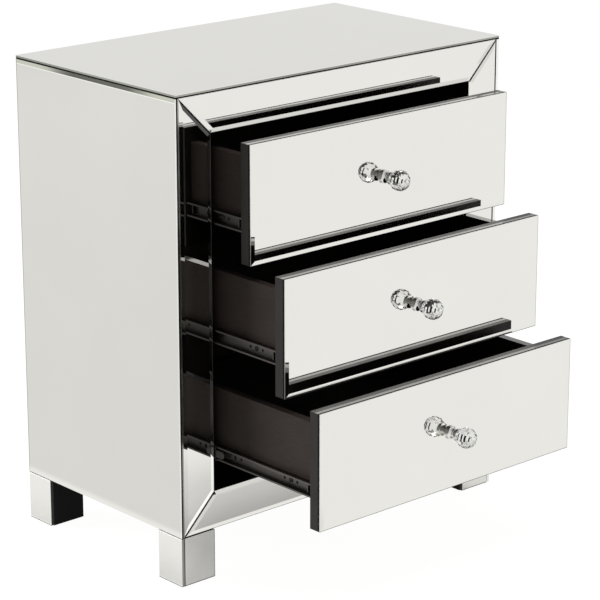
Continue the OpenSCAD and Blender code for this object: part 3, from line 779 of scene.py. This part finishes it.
# ---- Knobs
# A knob is a ball of cut glass, ground with facets, that sits in the cup of a turned and chromed
# stem. A pan-head screw from inside the drawer holds it to the front.
# The stroke colour is for painted dark strokes, a painted reflection of the dark surround in the
# cuts.
CLEAR, CLOUDED, STROKE = (0.99, 0.995, 0.995), (0.97, 0.98, 0.98), (0.02, 0.018, 0.016)
# Where the cuts run and how far they spread to each side, in degrees from the knob's axis.
CUTS = ((34, 4), (58, 6), (77, 5), (101, 4))
STROKES = 3              # dark strokes along each cut
STROKE_SHARE = 0.35      # part of the way round that they take up
STROKE_TURN = 9.14       # turns them round the axis, counted in strokes


def cut_glass(name, centre):
    """Clear glass with painted dark strokes along each of its cuts, which show from outside: a
    painted reflection of the dark surround in the cuts. The angle from the knob's axis is the arc
    cosine of how far a point lies forward as a share of its distance from the centre. The way round
    is counted in strokes, and its fraction is a stroke's share."""
    finish = new_finish(name)
    across, along, height = (
        part - middle for part, middle in zip(finish.split(finish.coordinates()), centre))
    distance = (across * across + along * along + height * height).math("SQRT")
    tilt = ((0 - along) / distance).math("ARCCOSINE") * math.degrees(1)
    cut = 0
    for at, spread in CUTS:
        cut = cut + (abs(tilt - at) < spread)
    turn = bearing(across, height) * (STROKES / math.tau) + STROKE_TURN
    inside = finish.node("NewGeometry", output="Backfacing")
    cut = cut * (abs(turn.math("FRACT") - 0.5) < STROKE_SHARE / 2) * (1 - inside)
    haze = finish.noise(0.004, detail=2)
    return finish.surface(
        Base_Color=finish.mix(cut, finish.mix(haze, CLEAR, CLOUDED), STROKE),
        Metallic=cut,
        Roughness=cut * 0.3,
        IOR=1.52,
        Transmission_Weight=1.0)


CHROME, PAINTED_DARK_CHROME = (0.74, 0.73, 0.71), (0.035, 0.03, 0.026)
# The painted dark reflection above and the one below, as ramps over how far a face looks up.
PAINTED_DARK_ABOVE, PAINTED_DARK_BELOW = (0.55, 0.9, 0, 0.75), (-0.85, -0.35, 1, 0)
# Painted light: the glow painted in patches inside the cup, standing for bright foil behind the
# glass.
PAINTED_CUP_GLOW = (0.06, 0.06, 0.06), (0.34, 0.34, 0.33)        # glow of the foil in the cup
CUP = 0.3                # the cup's inside looks forward by more than this
SEAT = 0.0005            # how far behind the ball the cup's inside ends


def chrome(name, cup_end):
    """Bright chrome, painted dark above and below as a painted reflection of a dark surround. Inside
    the cup, before cup_end, it glows in patches: painted light that stands for bright foil behind
    the glass, throwing the light back out of it."""
    finish = new_finish(name)
    polish = finish.noise(0.002, detail=2)
    _, back, upward = finish.split(finish.outward())
    # Painted reflection: the chrome is painted dark where it looks up and where it looks down.
    film = finish.ramp(upward, *PAINTED_DARK_ABOVE) | finish.ramp(upward, *PAINTED_DARK_BELOW)
    # Painted light: the cup's inside glows where it looks forward.
    foil = (back < -CUP) * (finish.split(finish.coordinates())[1] < cup_end)
    glow_patches = finish.ramp(finish.noise(0.0022, detail=1), 0.42, 0.58)
    return finish.surface(
        Base_Color=finish.mix(film, CHROME, PAINTED_DARK_CHROME),
        Metallic=1.0,
        Roughness=finish.spread(polish, 0.04, 0.08),
        Emission_Color=finish.mix(foil, (0, 0, 0), finish.mix(glow_patches, *PAINTED_CUP_GLOW)),
        Emission_Strength=1.0,
        Normal=finish.bump(polish, 0.000005))


PAN_RADIUS, PAN_HEIGHT, SHANK_RADIUS = 0.004, 0.0024, 0.002
for drawer in DRAWERS:
    low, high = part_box(f"{drawer}_knob_ball")
    centre = [(a + b) / 2 for a, b in zip(low, high)]
    dress(cut_glass(f"{drawer}_cut_glass", centre), f"{drawer}_knob_ball")
    dress(chrome(f"{drawer}_chrome", high[1] + SEAT), f"{drawer}_knob_stem")
    low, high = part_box(f"{drawer}_knob_screw")
    under_head = ((low[0] + high[0]) / 2, high[1] - PAN_HEIGHT, (low[2] + high[2]) / 2)
    screw = screws(f"{drawer}_knob_pan_screw", f"{drawer}_drawer", (0, 1, 0), [under_head],
                   PAN_RADIUS, PAN_HEIGHT,
                   [(PAN_RADIUS, 0.0), (SHANK_RADIUS, 0.0), (SHANK_RADIUS, low[1] - under_head[1])])
    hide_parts(f"{drawer}_knob_screw")
